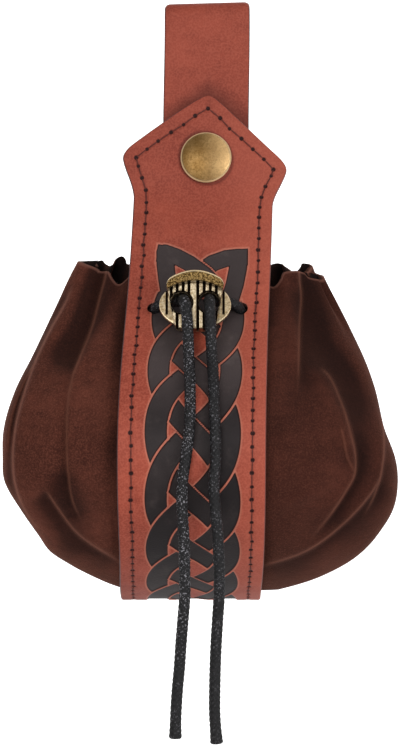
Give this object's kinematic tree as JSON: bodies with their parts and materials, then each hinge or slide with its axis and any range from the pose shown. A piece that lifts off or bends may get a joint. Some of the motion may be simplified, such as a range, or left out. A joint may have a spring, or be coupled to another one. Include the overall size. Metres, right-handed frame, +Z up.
{
  "type": "medieval belt pouch",
  "caption": "Gathered suede belt pouch with a leather front panel, a snapped belt loop, and a drawstring held by a metal toggle bead.",
  "frame": {"origin": "inside top of the belt loop, in the middle of the fold's gap and of the strap's width, where a belt carries the pouch", "axes": "+Z up, -Y the front with the snap and the bead, +X to the right of someone who looks at the front"},
  "size_m": [0.1287, 0.0737, 0.2381],
  "materials": {
    "leather": "smooth reddish-brown leather with a fine grain, painted grey-brown edges",
    "suede": "dark brown suede, napped and matt",
    "brass": "antique brass, mottled, worn bright at the rim",
    "bronze": "antique bronze, bright ribs and dark grooves",
    "cord": "black waxed braided cord, slight shine"
  },
  "bodies": {
    "root": {"belt_strap": "leather", "front_panel": "leather", "pouch_bag": "suede", "snap_cap": "brass", "snap_stud": "brass", "toggle_bead": "bronze", "drawstring_hem": "cord", "drawstring_left": "cord", "drawstring_right": "cord"}
  },
  "joints": []
}
